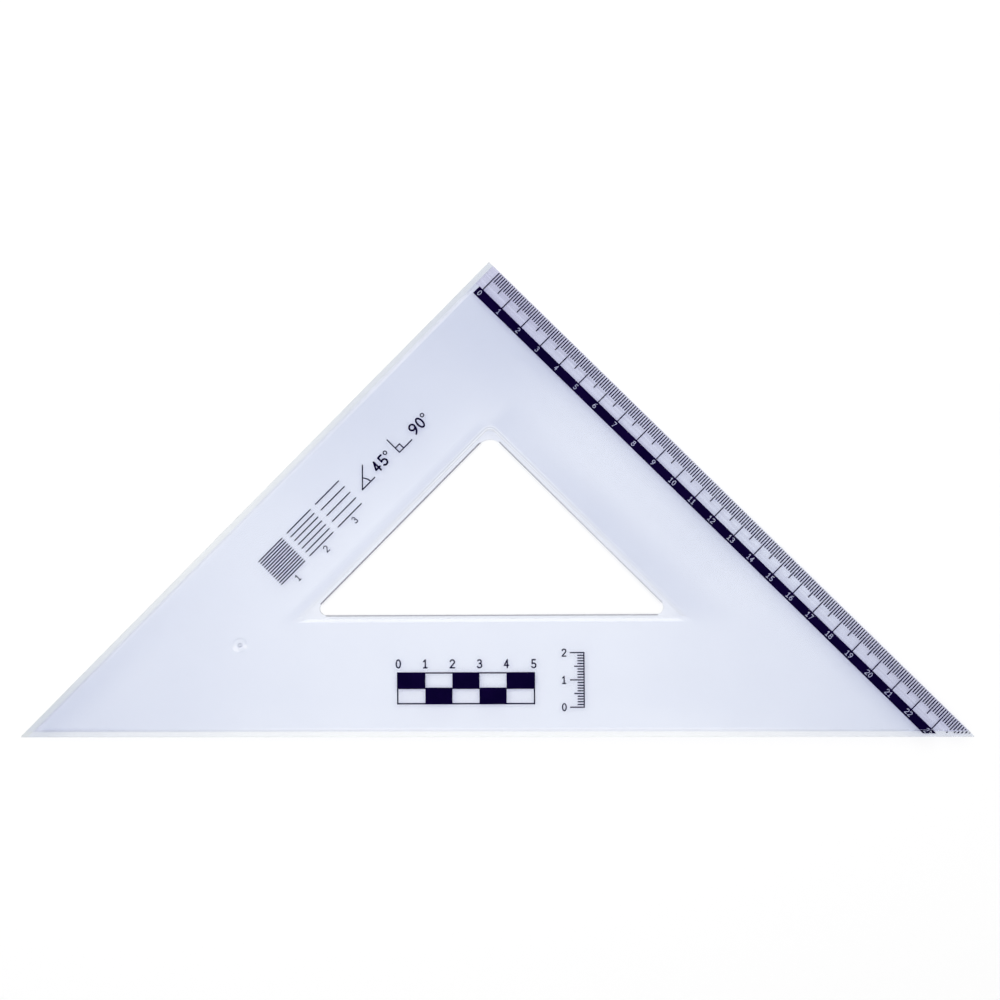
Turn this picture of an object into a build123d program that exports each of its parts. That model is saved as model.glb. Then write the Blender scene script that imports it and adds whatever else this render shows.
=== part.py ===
from build123d import *
import os
from functools import cache
from math import hypot, sqrt

# A 45 degree drafting triangle: one clear moulding and the ink printed on its top face.
# Millimetres. X runs along the long side, Y towards the right angle, Z up through the plate.
# The origin is the middle of the plate's box, on the underside that lies on the paper.

# Plate
LEG = 249.1
THICKNESS = 2.0
CORNER_RADIUS = 0.2

# Thin lip along the left leg and the long side
LIP_WIDTH = 2.0
LIP_STEP = 1.0
LIP_WALL_RUN = 0.6

# Triangular opening and the lip around it
HOLE_INSET = 45.3
HOLE_APEX_RADIUS = 5.3
HOLE_CORNER_RADIUS = 2.45
HOLE_LIP_WIDTH = 1.7
HOLE_LOW_LIP_WIDTH = 1.4
HOLE_LIP_STEP = 1.0
HOLE_WALL_RUN = 1.3
HOLE_WALL_RADIUS = 1.0

# Bevel that brings the scale close to the paper
BEVEL_WIDTH = 9.0
BEVEL_DROP = 0.6

# Round gate mark left by moulding, placed from the right angle along the left leg
GATE_ALONG = 166.6
GATE_INWARD = 34.4
GATE_DIAMETER = 6.0
GATE_SLOPE = 0.6
GATE_DEPTH = 0.2
PIP_DIAMETER = 1.7
PIP_BORE = 0.7
PIP_HEIGHT = 0.15

# Ink
INK_THICKNESS = 0.05
INK_SETBACK = 0.1
LINE_WIDTH = 0.43

# Centimetre scale, measured along the scale leg from the right angle and in from its edge
LINE_PITCH = 1
LINES_PER_NUMBER = 10
SCALE_START = 5.8
LINE_START = 0.25
MILLIMETRE_LINE_END = 4.35
HALF_LINE_END = 6.25
BAND_WIDTH = 3.4
BAND_LEAD = 1.75
BAND_NUMBER_HEIGHT = 2.1
BAND_NUMBER_STROKE = 0.28
LIP_PRINT_START = 1.2

# Numerals: their width and pitch as shares of their height, their bowls as shares of half of it
NUMBER_WIDTH_RATIO = 0.6
NUMBER_PITCH_RATIO = 0.73
UPPER_BOWL_RATIO = 0.47
LOWER_BOWL_RATIO = 0.56

# Line spacing guide on the left arm
GUIDE_GROUPS = 3
GUIDE_STEP = 1
GUIDE_GROUP_LENGTH = 12.5
GUIDE_GROUP_PITCH = 15
GUIDE_HEIGHT = 12
GUIDE_ALONG = 118.4
GUIDE_HOLE_CLEARANCE = 8.8
GUIDE_NUMBER_HEIGHT = 2.7
GUIDE_NUMBER_STROKE = 0.34
GUIDE_NUMBER_GAP = 1.2

# Angle signs on the left arm
ANGLE_GUIDE_CLEARANCE = 3.75
ANGLE_HOLE_CLEARANCE = 16
ANGLE_SIGN_SIZE = 6.5
ANGLE_ARC_RADIUS = 4.4
ANGLE_SQUARE = 2.2
ANGLE_LINE_WIDTH = 0.45
ANGLE_SIGN_GAP = 3.1
ANGLE_NUMBER_HEIGHT = 4.6
ANGLE_NUMBER_STROKE = 0.7
ANGLE_NUMBER_GAP = 1.6
DEGREE_DIAMETER = 1.7
DEGREE_STROKE = 0.4

# Bar scale on the lower arm
BAR_COUNT = 5
BAR_ROW_HEIGHT = 5.4
BAR_LINE_WIDTH = 0.5
BAR_CENTRE_X = -9.3
BAR_FROM_LONG_SIDE = 12.6
BAR_NUMBER_HEIGHT = 3.4
BAR_NUMBER_STROKE = 0.5
BAR_NUMBER_GAP = 1.4

# Small upright rule on the lower arm
RULE_BAR_CLEARANCE = 9.8
RULE_FROM_LONG_SIDE = 11
RULE_LAST_NUMBER = 2
RULE_SHORT_LINE = 2.2
RULE_HALF_LINE = 3.4
RULE_LONG_LINE = 5
RULE_NUMBER_HEIGHT = 3
RULE_NUMBER_STROKE = 0.45
RULE_NUMBER_GAP = 1.2

# Worked out from the sizes above
half_side = LEG / sqrt(2)
middle = half_side / 2
lip_top = THICKNESS - LIP_STEP
hole_lip_top = THICKNESS - HOLE_LIP_STEP
scale_edge_top = THICKNESS - BEVEL_DROP
bevel_length = hypot(BEVEL_WIDTH, BEVEL_DROP)
lip_wall_length = hypot(LIP_WALL_RUN, LIP_STEP)
hole_lip_inset = HOLE_INSET - HOLE_LIP_WIDTH
hole_low_inset = hole_lip_inset + HOLE_LOW_LIP_WIDTH
hole_wall_inset = hole_lip_inset - HOLE_WALL_RUN
band_centre = BEVEL_WIDTH + BAND_WIDTH / 2
number_pitch = LINES_PER_NUMBER * LINE_PITCH
last_line = int((LEG - SCALE_START) / LINE_PITCH)

# Planes at the right angle: x runs down the scale leg or up the left leg, y points out of the plate
scale_plane = Plane(origin=(0, middle, THICKNESS), x_dir=(1, -1, 0), z_dir=(0, 0, 1))
scale_lip_plane = Plane(origin=(0, middle, lip_top), x_dir=(1, -1, 0), z_dir=(0, 0, 1))
bevel_normal = (BEVEL_DROP, BEVEL_DROP, BEVEL_WIDTH * sqrt(2))
bevel_plane = Plane(origin=(0, middle, scale_edge_top), x_dir=(1, -1, 0), z_dir=bevel_normal)
left_plane = Plane(origin=(0, middle, THICKNESS), x_dir=(1, 1, 0), z_dir=(0, 0, 1))
top_plane = Plane.XY.offset(THICKNESS)
leg_end_plane = Plane(origin=(0, middle, 0), x_dir=(-1, -1, 0), z_dir=(-1, 1, 0))


def triangle(left, long_side, scale):
    """Corners of a triangle set in from the plate's left leg, long side and scale leg."""
    apex = ((left - scale) / sqrt(2), middle - (left + scale) / sqrt(2))
    left_corner = (-half_side + long_side + left * sqrt(2), long_side - middle)
    right_corner = (half_side - long_side - scale * sqrt(2), long_side - middle)
    return apex, left_corner, right_corner


def outline(points, mode=Mode.ADD):
    """A straight-sided face through the points, in the sketch being drawn."""
    with BuildLine(mode=Mode.PRIVATE) as sides:
        Polyline(*points, close=True)
    make_face(sides.edges(), mode=mode)


def scale_end(inset, across):
    """How far down the scale leg a line runs that stays this far in from the long side."""
    return LEG - across - inset * sqrt(2)


def wall_inset(height):
    """How far in from the long side the lip's sloped wall reaches a height."""
    return LIP_WIDTH + LIP_WALL_RUN * (height - lip_top) / LIP_STEP


def stroke_line(stroke, *points):
    """A printed line with round ends through the points, in the sketch being drawn."""
    with BuildLine(mode=Mode.PRIVATE) as path:
        Polyline(*points)
    SlotArc(path.wire(), stroke)


def stroke_arc(stroke, centre, radius, start, sweep):
    """A printed arc with round ends, in the sketch being drawn."""
    with BuildLine(mode=Mode.PRIVATE) as path:
        CenterArc(centre, radius, start, sweep)
    SlotArc(path.wire(), stroke)


def stroke_ring(stroke, centre, radius):
    """A printed ring, in the sketch being drawn."""
    with Locations(centre):
        Circle(radius + stroke / 2)
        Circle(radius - stroke / 2, mode=Mode.SUBTRACT)


def draw_zero(stroke, side, top):
    """An upright oval."""
    Ellipse(side + stroke / 2, top + stroke / 2)
    Ellipse(side - stroke / 2, top - stroke / 2, mode=Mode.SUBTRACT)


def draw_one(stroke, side, top):
    """A flag, a stem and a foot a little narrower than the other numerals."""
    reach = 0.8 * side
    stroke_line(stroke, (-reach, top - reach), (0, top), (0, -top))
    stroke_line(stroke, (-reach, -top), (reach, -top))


def draw_two(stroke, side, top):
    """An arch that runs on into a slanted stem, and a foot."""
    arch_start, arch_sweep = 165, -200
    with BuildLine(mode=Mode.PRIVATE) as path:
        arch = CenterArc((0, top - side), side, arch_start, arch_sweep)
        Polyline(arch @ 1, (-side, -top), (side, -top))
    SlotArc(path.wire(), stroke)


def draw_three(stroke, side, top):
    """Two open bowls that meet in a point."""
    upper, lower = UPPER_BOWL_RATIO * top, LOWER_BOWL_RATIO * top
    open_angle, bowl_sweep = 150, -240
    stroke_arc(stroke, (0, top - upper), upper, open_angle, bowl_sweep)
    stroke_arc(stroke, (0, lower - top), lower, open_angle + bowl_sweep + 180, bowl_sweep)


def draw_four(stroke, side, top):
    """A stem right of the middle, a slanted side and a crossbar."""
    stem, crossbar = 0.4 * side, -0.4 * top
    stroke_line(stroke, (stem, -top), (stem, top))
    stroke_line(stroke, (stem, top), (-side, crossbar), (side, crossbar))


def draw_five(stroke, side, top):
    """A flag, a short stem and an open bowl."""
    bowl = LOWER_BOWL_RATIO * top
    flag_end = 0.8 * side
    bowl_start, bowl_sweep = 130, -275
    with BuildLine(mode=Mode.PRIVATE) as path:
        curve = CenterArc((0, bowl - top), bowl, bowl_start, bowl_sweep)
    stem = curve @ 0
    SlotArc(path.wire(), stroke)
    stroke_line(stroke, (flag_end, top), (stem.X, top), stem)


def draw_six(stroke, side, top, turn=1):
    """A ring with a tail that leaves it upwards, or turned half round for a nine."""
    bowl = LOWER_BOWL_RATIO * top
    bowl_y = (bowl - top) * turn
    tail_end = (0.55 * side * turn, top * turn)
    with BuildLine(mode=Mode.PRIVATE) as tail:
        TangentArc((-bowl * turn, bowl_y), tail_end, tangent=(0, turn))
    SlotArc(tail.wire(), stroke)
    stroke_ring(stroke, (0, bowl_y), bowl)


def draw_seven(stroke, side, top):
    """A flat top and a slanted stem."""
    foot = -0.3 * side
    stroke_line(stroke, (-side, top), (side, top), (foot, -top))


def draw_eight(stroke, side, top):
    """Two rings that share a waist."""
    upper, lower = UPPER_BOWL_RATIO * top, LOWER_BOWL_RATIO * top
    for shift, mode in ((stroke / 2, Mode.ADD), (-stroke / 2, Mode.SUBTRACT)):
        with Locations((0, top - upper)):
            Circle(upper + shift, mode=mode)
        with Locations((0, lower - top)):
            Circle(lower + shift, mode=mode)


def draw_nine(stroke, side, top):
    """A six turned half round."""
    draw_six(stroke, side, top, turn=-1)


DRAW_NUMERAL = (
    draw_zero,
    draw_one,
    draw_two,
    draw_three,
    draw_four,
    draw_five,
    draw_six,
    draw_seven,
    draw_eight,
    draw_nine,
)


@cache
def numeral(digit, height, stroke):
    """One plain numeral as a flat shape, upright on XY with its middle at the origin."""
    top = (height - stroke) / 2
    side = (NUMBER_WIDTH_RATIO * height - stroke) / 2
    with BuildSketch(mode=Mode.PRIVATE) as shape:
        DRAW_NUMERAL[digit](stroke, side, top)
    return shape.sketch


def number(value, height, stroke):
    """The numerals of a whole number side by side, with their middle at the origin."""
    shapes = [numeral(int(digit), height, stroke) for digit in str(value)]
    with BuildSketch(mode=Mode.PRIVATE) as row:
        for place, shape in enumerate(shapes):
            with Locations(((place - (len(shapes) - 1) / 2) * NUMBER_PITCH_RATIO * height, 0)):
                add(shape)
    return row.sketch


def scale_lines(indices, line_end, stretch=1):
    """Scale lines at whole steps from zero, in the sketch being drawn, from the edge inwards."""
    spots = [(SCALE_START + index * LINE_PITCH, -LINE_START * stretch) for index in indices]
    with Locations(*spots):
        Rectangle(LINE_WIDTH, (line_end - LINE_START) * stretch, align=(Align.CENTER, Align.MAX))


def line_kind(index):
    """Whether a scale line is a long, a half-way or a short one."""
    return {0: "long", LINES_PER_NUMBER // 2: "half"}.get(index % LINES_PER_NUMBER, "short")


# The three kinds of line on the scale: which steps have them and how far in they reach
line_groups = {
    name: ([index for index in range(last_line) if line_kind(index) == kind], line_end)
    for name, kind, line_end in (
        ("centimetre_lines", "long", BEVEL_WIDTH),
        ("half_centimetre_lines", "half", HALF_LINE_END),
        ("millimetre_lines", "short", MILLIMETRE_LINE_END),
    )
}

# Numbers that the scale's band has room for
band_top_inset = wall_inset(THICKNESS) + INK_SETBACK
last_number = int((scale_end(band_top_inset, BEVEL_WIDTH) - SCALE_START) / number_pitch)
band_numbers = [number(value, BAND_NUMBER_HEIGHT, BAND_NUMBER_STROKE) for value in range(last_number + 1)]

os.makedirs("parts", exist_ok=True)

# Plate
with BuildPart() as plate:
    with BuildSketch() as footprint:
        outline(triangle(0, 0, 0))
        fillet(footprint.vertices(), CORNER_RADIUS)
    extrude(amount=lip_top)

    # Raised middle, whose walls lean in from the lip on two sides
    with BuildSketch(Plane.XY.offset(lip_top)):
        outline(triangle(LIP_WIDTH, LIP_WIDTH, 0))
    with BuildSketch(top_plane):
        outline(triangle(wall_inset(THICKNESS), wall_inset(THICKNESS), 0))
    loft(ruled=True)

    # Bevel along the scale leg
    with BuildSketch(leg_end_plane):
        outline([
            (BEVEL_WIDTH, THICKNESS),
            (-BEVEL_WIDTH, THICKNESS - 2 * BEVEL_DROP),
            (-BEVEL_WIDTH, THICKNESS + BEVEL_DROP),
            (BEVEL_WIDTH, THICKNESS + BEVEL_DROP),
        ])
    extrude(amount=2 * LEG, both=True, mode=Mode.SUBTRACT)

    # Sunken lip around the opening, narrower on its low side
    with BuildSketch(Plane.XY.offset(hole_lip_top)) as lip_foot:
        outline(triangle(*[hole_lip_inset] * 3))
        fillet(lip_foot.vertices(), HOLE_WALL_RADIUS)
    with BuildSketch(top_plane) as lip_head:
        outline(triangle(*[hole_wall_inset] * 3))
        fillet(lip_head.vertices(), HOLE_WALL_RADIUS)
    loft(ruled=True, mode=Mode.SUBTRACT)

    # Opening
    with BuildSketch() as opening:
        outline(triangle(HOLE_INSET, hole_low_inset, HOLE_INSET))
        fillet(opening.vertices().sort_by(Axis.Y)[-1], HOLE_APEX_RADIUS)
        fillet(opening.vertices().group_by(Axis.Y)[0], HOLE_CORNER_RADIUS)
    extrude(amount=THICKNESS, mode=Mode.SUBTRACT)

    # Gate mark: a shallow dish with a ring in the middle
    with Locations(left_plane.location):
        with Locations((-GATE_ALONG, -GATE_INWARD, 0)):
            Cone(
                GATE_DIAMETER / 2 - GATE_SLOPE,
                GATE_DIAMETER / 2,
                GATE_DEPTH,
                align=(Align.CENTER, Align.CENTER, Align.MAX),
                mode=Mode.SUBTRACT,
            )
        with Locations((-GATE_ALONG, -GATE_INWARD, -GATE_DEPTH)):
            on_floor = (Align.CENTER, Align.CENTER, Align.MIN)
            Cylinder(PIP_DIAMETER / 2, PIP_HEIGHT, align=on_floor)
            Cylinder(PIP_BORE / 2, PIP_HEIGHT, align=on_floor, mode=Mode.SUBTRACT)
plate.part.label = "plate"
export_step(plate.part, "parts/plate.step")

# Scale lines on the bevel, cut off where the lip's wall drops away
stretch = bevel_length / BEVEL_WIDTH
for name, (indices, line_end) in line_groups.items():
    with BuildPart() as lines:
        with BuildSketch(bevel_plane):
            scale_lines(indices, line_end, stretch)
            outline(
                [
                    (0, 0),
                    (scale_end(wall_inset(scale_edge_top) + INK_SETBACK, 0), 0),
                    (scale_end(band_top_inset, BEVEL_WIDTH), -bevel_length),
                    (0, -bevel_length),
                ],
                mode=Mode.INTERSECT,
            )
        extrude(amount=INK_THICKNESS)
    lines.part.label = name
    export_step(lines.part, f"parts/{name}.step")

# Dark band with the centimetre numbers left clear
with BuildPart() as scale_band:
    with BuildSketch(scale_plane):
        outline([
            (SCALE_START - BAND_LEAD, -BEVEL_WIDTH),
            (scale_end(band_top_inset, BEVEL_WIDTH), -BEVEL_WIDTH),
            (scale_end(band_top_inset, BEVEL_WIDTH + BAND_WIDTH), -BEVEL_WIDTH - BAND_WIDTH),
            (SCALE_START - BAND_LEAD, -BEVEL_WIDTH - BAND_WIDTH),
        ])
        for value, shape in enumerate(band_numbers):
            with Locations((SCALE_START + value * number_pitch, -band_centre)):
                add(shape, mode=Mode.SUBTRACT)
    extrude(amount=INK_THICKNESS)
scale_band.part.label = "scale_band"
export_step(scale_band.part, "parts/scale_band.step")

# Outline of the ink that runs over the lip and up its wall, across the long side
wall_ink_out = INK_THICKNESS * LIP_STEP / lip_wall_length
wall_ink_up = INK_THICKNESS * LIP_WALL_RUN / lip_wall_length
wall_ink_foot = LIP_WIDTH - wall_ink_out + (INK_THICKNESS - wall_ink_up) * LIP_WALL_RUN / LIP_STEP
lip_ink = [
    (LIP_PRINT_START, lip_top),
    (LIP_WIDTH, lip_top),
    (wall_inset(THICKNESS), THICKNESS),
    (wall_inset(THICKNESS) - wall_ink_out, THICKNESS + wall_ink_up),
    (wall_ink_foot, lip_top + INK_THICKNESS),
    (LIP_PRINT_START, lip_top + INK_THICKNESS),
]

# The end of the band, which follows the wall down to the lip
with BuildPart() as band_end:
    with BuildSketch(scale_lip_plane):
        with Locations((LEG, -BEVEL_WIDTH)):
            Rectangle(LEG - SCALE_START, BAND_WIDTH, align=(Align.MAX, Align.MAX))
        with Locations((SCALE_START + last_number * number_pitch, -band_centre)):
            add(band_numbers[last_number], mode=Mode.SUBTRACT)
    extrude(amount=LIP_STEP + INK_THICKNESS)
    with BuildSketch(Plane.YZ):
        outline([(inset - middle, height) for inset, height in lip_ink])
    extrude(amount=half_side, mode=Mode.INTERSECT)

# The ends of the lines and the band that reach the lip of the long side
with BuildPart() as lip_print:
    with BuildSketch(scale_lip_plane):
        for indices, line_end in line_groups.values():
            first = (scale_end(LIP_WIDTH, line_end) - SCALE_START) / LINE_PITCH
            reaching = [index for index in indices if index > first]
            if reaching:
                scale_lines(reaching, line_end)
        outline(
            [
                (scale_end(LIP_WIDTH - INK_SETBACK, 0), 0),
                (scale_end(LIP_PRINT_START, 0), 0),
                (scale_end(LIP_PRINT_START, BEVEL_WIDTH), -BEVEL_WIDTH),
                (scale_end(LIP_WIDTH - INK_SETBACK, BEVEL_WIDTH), -BEVEL_WIDTH),
            ],
            mode=Mode.INTERSECT,
        )
    extrude(amount=INK_THICKNESS)
    add(band_end.part)
lip_print.part.label = "lip_print"
export_step(lip_print.part, "parts/lip_print.step")

# Line spacing guide: groups of even lines, their numbers on the side of the opening
guide_groups = range(1, GUIDE_GROUPS + 1)
guide_numbers = [number(group, GUIDE_NUMBER_HEIGHT, GUIDE_NUMBER_STROKE) for group in guide_groups]
guide_places = [(group - (GUIDE_GROUPS + 1) / 2) * GUIDE_GROUP_PITCH - GUIDE_ALONG for group in guide_groups]
guide_number_y = GUIDE_HOLE_CLEARANCE + GUIDE_NUMBER_HEIGHT / 2 - hole_wall_inset
guide_foot_y = guide_number_y + GUIDE_NUMBER_HEIGHT / 2 + GUIDE_NUMBER_GAP
with BuildPart() as guide_lines:
    with BuildSketch(left_plane):
        for place, group in zip(guide_places, guide_groups):
            spacing = group * GUIDE_STEP
            rows = [guide_foot_y + row * spacing for row in range(int(GUIDE_HEIGHT / spacing) + 1)]
            with Locations(*[(place, row) for row in rows]):
                Rectangle(GUIDE_GROUP_LENGTH, LINE_WIDTH)
    extrude(amount=INK_THICKNESS)
guide_lines.part.label = "spacing_guide_lines"
export_step(guide_lines.part, "parts/spacing_guide_lines.step")

with BuildPart() as guide_figures:
    with BuildSketch(left_plane):
        for place, shape in zip(guide_places, guide_numbers):
            with Locations((place, guide_number_y)):
                add(shape)
    extrude(amount=INK_THICKNESS)
guide_figures.part.label = "spacing_guide_numbers"
export_step(guide_figures.part, "parts/spacing_guide_numbers.step")

# Angle signs: a corner with an arc for 45 degrees and one with a square for 90 degrees
angle_numbers = [number(value, ANGLE_NUMBER_HEIGHT, ANGLE_NUMBER_STROKE) for value in (45, 90)]
angle_width = NUMBER_PITCH_RATIO * ANGLE_NUMBER_HEIGHT * 2
angle_foot_y = ANGLE_HOLE_CLEARANCE - hole_wall_inset
angle_length = ANGLE_SIGN_SIZE + ANGLE_NUMBER_GAP + angle_width + DEGREE_DIAMETER
first_sign = guide_places[-1] + GUIDE_GROUP_LENGTH / 2 + ANGLE_GUIDE_CLEARANCE
sign_places = [first_sign, first_sign + angle_length + ANGLE_SIGN_GAP]
with BuildPart() as angle_signs:
    with BuildSketch(left_plane):
        with Locations((sign_places[0], angle_foot_y)):
            with BuildSketch(mode=Mode.PRIVATE) as half_right:
                stroke_line(ANGLE_LINE_WIDTH, (ANGLE_SIGN_SIZE,) * 2, (0, 0), (ANGLE_SIGN_SIZE, 0))
                stroke_arc(ANGLE_LINE_WIDTH, (0, 0), ANGLE_ARC_RADIUS, 0, 45)
            add(half_right.sketch)
        with Locations((sign_places[1], angle_foot_y)):
            with BuildSketch(mode=Mode.PRIVATE) as right:
                stroke_line(ANGLE_LINE_WIDTH, (0, ANGLE_SIGN_SIZE), (0, 0), (ANGLE_SIGN_SIZE, 0))
                stroke_line(ANGLE_LINE_WIDTH, (0, ANGLE_SQUARE), (ANGLE_SQUARE,) * 2, (ANGLE_SQUARE, 0))
            add(right.sketch)
    extrude(amount=INK_THICKNESS)
angle_signs.part.label = "angle_signs"
export_step(angle_signs.part, "parts/angle_signs.step")

with BuildPart() as angle_figures:
    with BuildSketch(left_plane):
        for place, shape in zip(sign_places, angle_numbers):
            centre_x = place + ANGLE_SIGN_SIZE + ANGLE_NUMBER_GAP + angle_width / 2
            with Locations((centre_x, angle_foot_y + ANGLE_NUMBER_HEIGHT / 2)):
                add(shape)
            degree_x = centre_x + angle_width / 2 + DEGREE_DIAMETER / 2
            degree_y = angle_foot_y + ANGLE_NUMBER_HEIGHT - DEGREE_DIAMETER / 2
            stroke_ring(DEGREE_STROKE, (degree_x, degree_y), (DEGREE_DIAMETER - DEGREE_STROKE) / 2)
    extrude(amount=INK_THICKNESS)
angle_figures.part.label = "angle_numbers"
export_step(angle_figures.part, "parts/angle_numbers.step")

# Bar scale: two rows of centimetre cells, filled in turn
bar_length = BAR_COUNT * number_pitch
bar_foot_y = BAR_FROM_LONG_SIDE - middle
cell_height = BAR_ROW_HEIGHT - BAR_LINE_WIDTH / 2
with BuildPart() as bar_scale:
    with BuildSketch(top_plane):
        with Locations((BAR_CENTRE_X, bar_foot_y + BAR_ROW_HEIGHT)):
            Rectangle(bar_length + 2 * BAR_LINE_WIDTH, 2 * BAR_ROW_HEIGHT + 2 * BAR_LINE_WIDTH)
        for column in range(BAR_COUNT):
            row_sign = 1 if column % 2 else -1
            cell_x = BAR_CENTRE_X + (column - (BAR_COUNT - 1) / 2) * number_pitch
            cell_y = bar_foot_y + BAR_ROW_HEIGHT + row_sign * (BAR_ROW_HEIGHT + BAR_LINE_WIDTH / 2) / 2
            with Locations((cell_x, cell_y)):
                Rectangle(number_pitch, cell_height, mode=Mode.SUBTRACT)
    extrude(amount=INK_THICKNESS)
bar_scale.part.label = "bar_scale"
export_step(bar_scale.part, "parts/bar_scale.step")

bar_numbers = [number(value, BAR_NUMBER_HEIGHT, BAR_NUMBER_STROKE) for value in range(BAR_COUNT + 1)]
bar_number_y = bar_foot_y + 2 * BAR_ROW_HEIGHT + BAR_LINE_WIDTH + BAR_NUMBER_GAP + BAR_NUMBER_HEIGHT / 2
with BuildPart() as bar_figures:
    with BuildSketch(top_plane):
        for value, shape in enumerate(bar_numbers):
            with Locations((BAR_CENTRE_X - bar_length / 2 + value * number_pitch, bar_number_y)):
                add(shape)
    extrude(amount=INK_THICKNESS)
bar_figures.part.label = "bar_scale_numbers"
export_step(bar_figures.part, "parts/bar_scale_numbers.step")

# Upright rule: a spine with lines on its left and a number at each long line
rule_lines = RULE_LAST_NUMBER * LINES_PER_NUMBER
rule_foot_y = RULE_FROM_LONG_SIDE - middle
rule_number_width = NUMBER_WIDTH_RATIO * RULE_NUMBER_HEIGHT
rule_number_left = BAR_CENTRE_X + bar_length / 2 + BAR_LINE_WIDTH + RULE_BAR_CLEARANCE
rule_number_x = rule_number_left + rule_number_width / 2
rule_x = rule_number_left + rule_number_width + RULE_NUMBER_GAP + RULE_LONG_LINE
rule_reach = {"long": RULE_LONG_LINE, "half": RULE_HALF_LINE, "short": RULE_SHORT_LINE}
with BuildPart() as upright_rule:
    with BuildSketch(top_plane):
        with Locations((rule_x, rule_foot_y - LINE_WIDTH / 2)):
            Rectangle(LINE_WIDTH, rule_lines * LINE_PITCH + LINE_WIDTH, align=(Align.MIN, Align.MIN))
        for index in range(rule_lines + 1):
            with Locations((rule_x, rule_foot_y + index * LINE_PITCH)):
                Rectangle(rule_reach[line_kind(index)], LINE_WIDTH, align=(Align.MAX, Align.CENTER))
    extrude(amount=INK_THICKNESS)
upright_rule.part.label = "upright_rule"
export_step(upright_rule.part, "parts/upright_rule.step")

rule_values = range(RULE_LAST_NUMBER + 1)
rule_numbers = [number(value, RULE_NUMBER_HEIGHT, RULE_NUMBER_STROKE) for value in rule_values]
with BuildPart() as rule_figures:
    with BuildSketch(top_plane):
        for value, shape in enumerate(rule_numbers):
            with Locations((rule_number_x, rule_foot_y + value * number_pitch)):
                add(shape)
    extrude(amount=INK_THICKNESS)
rule_figures.part.label = "upright_rule_numbers"
export_step(rule_figures.part, "parts/upright_rule_numbers.step")
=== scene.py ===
"""Dresses the 45 degree drafting triangle: a clear moulded plate with printed scales, in soft light."""

import logging
import math
from dataclasses import dataclass
from enum import Enum
from functools import reduce

import bmesh
import bpy
from mathutils import Euler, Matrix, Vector


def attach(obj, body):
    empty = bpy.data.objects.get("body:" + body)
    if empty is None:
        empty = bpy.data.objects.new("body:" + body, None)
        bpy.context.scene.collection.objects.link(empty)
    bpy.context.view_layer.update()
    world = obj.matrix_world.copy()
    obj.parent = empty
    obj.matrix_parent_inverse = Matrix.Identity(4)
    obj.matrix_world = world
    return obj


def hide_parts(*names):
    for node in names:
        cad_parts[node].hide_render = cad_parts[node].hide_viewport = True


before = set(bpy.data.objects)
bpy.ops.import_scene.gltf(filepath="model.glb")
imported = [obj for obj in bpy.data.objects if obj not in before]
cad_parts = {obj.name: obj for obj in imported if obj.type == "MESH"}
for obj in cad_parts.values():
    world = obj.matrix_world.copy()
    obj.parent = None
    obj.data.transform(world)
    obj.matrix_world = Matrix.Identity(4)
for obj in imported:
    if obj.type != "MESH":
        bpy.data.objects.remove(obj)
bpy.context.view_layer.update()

MM = 0.001
ROOT_TWO = math.sqrt(2)
WHITE = (1.0, 1.0, 1.0)
RELIEF_HEIGHT = 0.01 * MM
WATTS_PER_AREA = 4.0
CUT_EDGE = "cut_edge"

log = logging.getLogger("drafting_triangle")

Colour = tuple[float, float, float]
Point = tuple[float, float, float]
Span = tuple[float, float]
Node = bpy.types.Node
Socket = bpy.types.NodeSocket
Input = Socket | float
Shade = Socket | Colour
Inputs = dict[str | int, Input | Shade]
Shell = bmesh.types.BMesh
Edge = bmesh.types.BMEdge
Vert = bmesh.types.BMVert


class Slot(Enum):
    """The record's material slots."""

    PLASTIC = "clear_plastic"
    INK = "ink"


class Corner(Enum):
    """The three corners of the plate and of its opening, in the order a loop runs through them."""

    APEX = 0
    RIGHT = 1
    LEFT = 2


class Blend(Enum):
    """How one colour acts on another: laid over it, or as a tinted glass before it."""

    OVER = "MIX"
    TINT = "MULTIPLY"


class Place(Enum):
    """The distances over the plate that its finish goes by.

    Left, long and scale lie in from the left leg, the long side and the scale. Lip is the nearer of the
    first two, and tip the farther. Opening is the nearest of all three, round a corner beside the opening's
    head. Across runs along the long side, and aside away from its clear middle. Height is over the
    underside, and gate is away from the middle of the gate mark.
    """

    LEFT = "Left"
    LONG = "Long"
    SCALE = "Scale"
    LIP = "Lip"
    TIP = "Tip"
    OPENING = "Opening"
    ACROSS = "Across"
    ASIDE = "Aside"
    HEIGHT = "Height"
    GATE = "Gate"


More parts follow.
